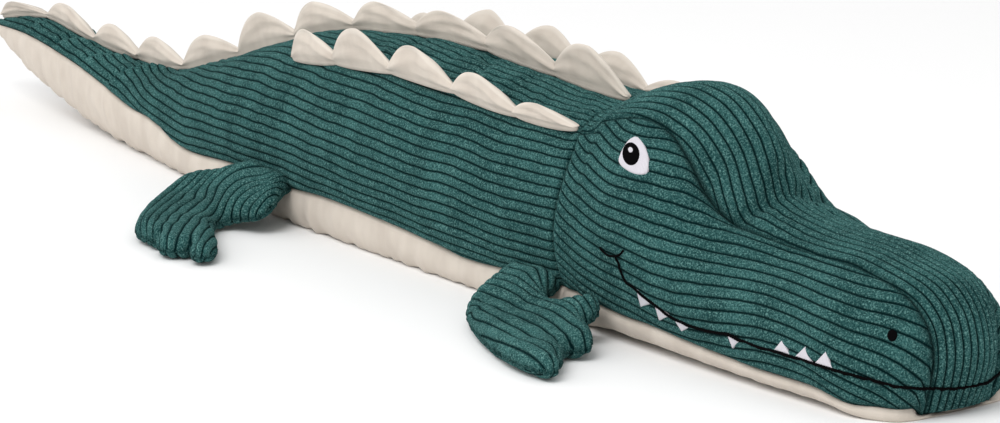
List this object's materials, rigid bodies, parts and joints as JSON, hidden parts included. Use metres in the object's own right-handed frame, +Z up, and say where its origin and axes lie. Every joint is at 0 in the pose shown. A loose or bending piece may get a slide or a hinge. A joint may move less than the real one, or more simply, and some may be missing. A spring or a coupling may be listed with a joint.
{
  "type": "plush crocodile",
  "caption": "Stuffed ribbed-cord crocodile with a cotton belly, padded back scutes, flat three-toed paws and embroidered eyes, teeth and mouth",
  "frame": {"origin": "on the floor under the middle of the toy, at the centre of the underside of its bounding box", "axes": "+X runs from the tail to the nose, +Y to the toy's left, +Z up"},
  "size_m": [0.8719, 0.299, 0.1239],
  "materials": {
    "cord": "wide-ribbed cord with a short nap",
    "cotton": "plain-woven cream cotton",
    "filling": "white fibre stuffing",
    "white_thread": "white satin-stitch embroidery",
    "black_thread": "black satin-stitch embroidery"
  },
  "bodies": {
    "body": {"belly_panel": "cotton", "body_filling": "filling", "cheek_panel_left": "cord", "cheek_panel_right": "cord", "crown_panel": "cord", "eye_white_left": "white_thread", "eye_white_right": "white_thread", "flank_panel_left": "cord", "flank_panel_right": "cord", "head_filling": "filling", "jaw_panel": "cotton", "lower_teeth_left": "white_thread", "lower_teeth_right": "white_thread", "middle_tooth_left": "white_thread", "middle_tooth_right": "white_thread", "mouth_line": "black_thread", "nostril_left": "black_thread", "nostril_right": "black_thread", "pupil_left": "black_thread", "pupil_right": "black_thread", "smile_curl_left": "black_thread", "smile_curl_right": "black_thread", "upper_teeth_left": "white_thread", "upper_teeth_right": "white_thread"},
    "front_paw_right": {"front_paw_right_filling": "filling", "front_paw_right_sole": "cord", "front_paw_right_upper": "cord"},
    "front_paw_left": {"front_paw_left_filling": "filling", "front_paw_left_sole": "cord", "front_paw_left_upper": "cord"},
    "rear_paw_right": {"rear_paw_right_filling": "filling", "rear_paw_right_sole": "cord", "rear_paw_right_upper": "cord"},
    "rear_paw_left": {"rear_paw_left_filling": "filling", "rear_paw_left_sole": "cord", "rear_paw_left_upper": "cord"},
    "left_scute_1": {"left_scute_1": "cotton"},
    "left_scute_2": {"left_scute_2": "cotton"},
    "left_scute_3": {"left_scute_3": "cotton"},
    "left_scute_4": {"left_scute_4": "cotton"},
    "left_scute_5": {"left_scute_5": "cotton"},
    "right_scute_1": {"right_scute_1": "cotton"},
    "right_scute_2": {"right_scute_2": "cotton"},
    "right_scute_3": {"right_scute_3": "cotton"},
    "right_scute_4": {"right_scute_4": "cotton"},
    "right_scute_5": {"right_scute_5": "cotton"},
    "spine_scute_01": {"spine_scute_01": "cotton"},
    "spine_scute_02": {"spine_scute_02": "cotton"},
    "spine_scute_03": {"spine_scute_03": "cotton"},
    "spine_scute_04": {"spine_scute_04": "cotton"},
    "spine_scute_05": {"spine_scute_05": "cotton"},
    "spine_scute_06": {"spine_scute_06": "cotton"},
    "spine_scute_07": {"spine_scute_07": "cotton"},
    "spine_scute_08": {"spine_scute_08": "cotton"},
    "spine_scute_09": {"spine_scute_09": "cotton"},
    "spine_scute_10": {"spine_scute_10": "cotton"},
    "spine_scute_11": {"spine_scute_11": "cotton"}
  },
  "joints": [
    {"name": "front_paw_right_flop", "type": "hinge", "parent": "body", "child": "front_paw_right", "pos_m": [0.184, -0.0521, 0.01708], "axis": [-0.9999, -0.0118, 0.0063], "range_deg": [-25, 50]},
    {"name": "front_paw_left_flop", "type": "hinge", "parent": "body", "child": "front_paw_left", "pos_m": [0.184, 0.0521, 0.01708], "axis": [0.9999, -0.0118, -0.0063], "range_deg": [-25, 50]},
    {"name": "rear_paw_right_flop", "type": "hinge", "parent": "body", "child": "rear_paw_right", "pos_m": [-0.05145, -0.05045, 0.02207], "axis": [-0.9984, 0.0554, -0.0093], "range_deg": [-25, 50]},
    {"name": "rear_paw_left_flop", "type": "hinge", "parent": "body", "child": "rear_paw_left", "pos_m": [-0.05145, 0.05045, 0.02207], "axis": [0.9984, 0.0554, 0.0093], "range_deg": [-25, 50]},
    {"name": "left_scute_1_bend", "type": "hinge", "parent": "body", "child": "left_scute_1", "pos_m": [-0.03174, 0.03561, 0.08753], "axis": [0.9956, 0.0681, 0.0644], "range_deg": [-50, 50], "stiffness_Nm_per_rad": 0.004},
    {"name": "left_scute_2_bend", "type": "hinge", "parent": "body", "child": "left_scute_2", "pos_m": [0.01685, 0.03817, 0.08969], "axis": [0.9987, 0.0413, 0.0301], "range_deg": [-50, 50], "stiffness_Nm_per_rad": 0.004},
    {"name": "left_scute_3_bend", "type": "hinge", "parent": "body", "child": "left_scute_3", "pos_m": [0.07189, 0.03991, 0.09129], "axis": [0.9994, 0.0215, 0.028], "range_deg": [-50, 50], "stiffness_Nm_per_rad": 0.004},
    {"name": "left_scute_4_bend", "type": "hinge", "parent": "body", "child": "left_scute_4", "pos_m": [0.12604, 0.04073, 0.09248], "axis": [0.9998, 0.0086, 0.0158], "range_deg": [-50, 50], "stiffness_Nm_per_rad": 0.004},
    {"name": "left_scute_5_bend", "type": "hinge", "parent": "body", "child": "left_scute_5", "pos_m": [0.17572, 0.04086, 0.09362], "axis": [0.9995, -0.0047, 0.0323], "range_deg": [-50, 50], "stiffness_Nm_per_rad": 0.004},
    {"name": "right_scute_1_bend", "type": "hinge", "parent": "body", "child": "right_scute_1", "pos_m": [-0.03174, -0.03561, 0.08753], "axis": [0.9956, -0.0681, 0.0644], "range_deg": [-50, 50], "stiffness_Nm_per_rad": 0.004},
    {"name": "right_scute_2_bend", "type": "hinge", "parent": "body", "child": "right_scute_2", "pos_m": [0.01685, -0.03817, 0.08969], "axis": [0.9987, -0.0413, 0.0301], "range_deg": [-50, 50], "stiffness_Nm_per_rad": 0.004},
    {"name": "right_scute_3_bend", "type": "hinge", "parent": "body", "child": "right_scute_3", "pos_m": [0.07189, -0.03991, 0.09129], "axis": [0.9994, -0.0215, 0.028], "range_deg": [-50, 50], "stiffness_Nm_per_rad": 0.004},
    {"name": "right_scute_4_bend", "type": "hinge", "parent": "body", "child": "right_scute_4", "pos_m": [0.12604, -0.04073, 0.09248], "axis": [0.9998, -0.0086, 0.0158], "range_deg": [-50, 50], "stiffness_Nm_per_rad": 0.004},
    {"name": "right_scute_5_bend", "type": "hinge", "parent": "body", "child": "right_scute_5", "pos_m": [0.17572, -0.04086, 0.09362], "axis": [0.9995, 0.0047, 0.0323], "range_deg": [-50, 50], "stiffness_Nm_per_rad": 0.004},
    {"name": "spine_scute_01_bend", "type": "hinge", "parent": "body", "child": "spine_scute_01", "pos_m": [-0.40088, 0, 0.05251], "axis": [0.9881, 0, 0.154], "range_deg": [-50, 50], "stiffness_Nm_per_rad": 0.004},
    {"name": "spine_scute_02_bend", "type": "hinge", "parent": "body", "child": "spine_scute_02", "pos_m": [-0.34582, 0, 0.05379], "axis": [0.9957, 0, -0.0929], "range_deg": [-50, 50], "stiffness_Nm_per_rad": 0.004},
    {"name": "spine_scute_03_bend", "type": "hinge", "parent": "body", "child": "spine_scute_03", "pos_m": [-0.29331, 0, 0.0497], "axis": [0.9983, 0, -0.0583], "range_deg": [-50, 50], "stiffness_Nm_per_rad": 0.004},
    {"name": "spine_scute_04_bend", "type": "hinge", "parent": "body", "child": "spine_scute_04", "pos_m": [-0.24351, 0, 0.04969], "axis": [0.9986, 0, 0.052], "range_deg": [-50, 50], "stiffness_Nm_per_rad": 0.004},
    {"name": "spine_scute_05_bend", "type": "hinge", "parent": "body", "child": "spine_scute_05", "pos_m": [-0.18914, 0, 0.0592], "axis": [0.9608, 0, 0.2772], "range_deg": [-50, 50], "stiffness_Nm_per_rad": 0.004},
    {"name": "spine_scute_06_bend", "type": "hinge", "parent": "body", "child": "spine_scute_06", "pos_m": [-0.13126, 0, 0.07689], "axis": [0.9519, 0, 0.3063], "range_deg": [-50, 50], "stiffness_Nm_per_rad": 0.004},
    {"name": "spine_scute_07_bend", "type": "hinge", "parent": "body", "child": "spine_scute_07", "pos_m": [-0.07412, 0, 0.09349], "axis": [0.9687, 0, 0.2482], "range_deg": [-50, 50], "stiffness_Nm_per_rad": 0.004},
    {"name": "spine_scute_08_bend", "type": "hinge", "parent": "body", "child": "spine_scute_08", "pos_m": [-0.01621, 0, 0.10265], "axis": [0.9977, 0, 0.0681], "range_deg": [-50, 50], "stiffness_Nm_per_rad": 0.004},
    {"name": "spine_scute_09_bend", "type": "hinge", "parent": "body", "child": "spine_scute_09", "pos_m": [0.04336, 0, 0.10518], "axis": [0.9999, 0, 0.0167], "range_deg": [-50, 50], "stiffness_Nm_per_rad": 0.004},
    {"name": "spine_scute_10_bend", "type": "hinge", "parent": "body", "child": "spine_scute_10", "pos_m": [0.10243, 0, 0.10509], "axis": [0.9998, 0, -0.0198], "range_deg": [-50, 50], "stiffness_Nm_per_rad": 0.004},
    {"name": "spine_scute_11_bend", "type": "hinge", "parent": "body", "child": "spine_scute_11", "pos_m": [0.15948, 0, 0.10334], "axis": [0.9991, 0, -0.0417], "range_deg": [-50, 50], "stiffness_Nm_per_rad": 0.004}
  ]
}
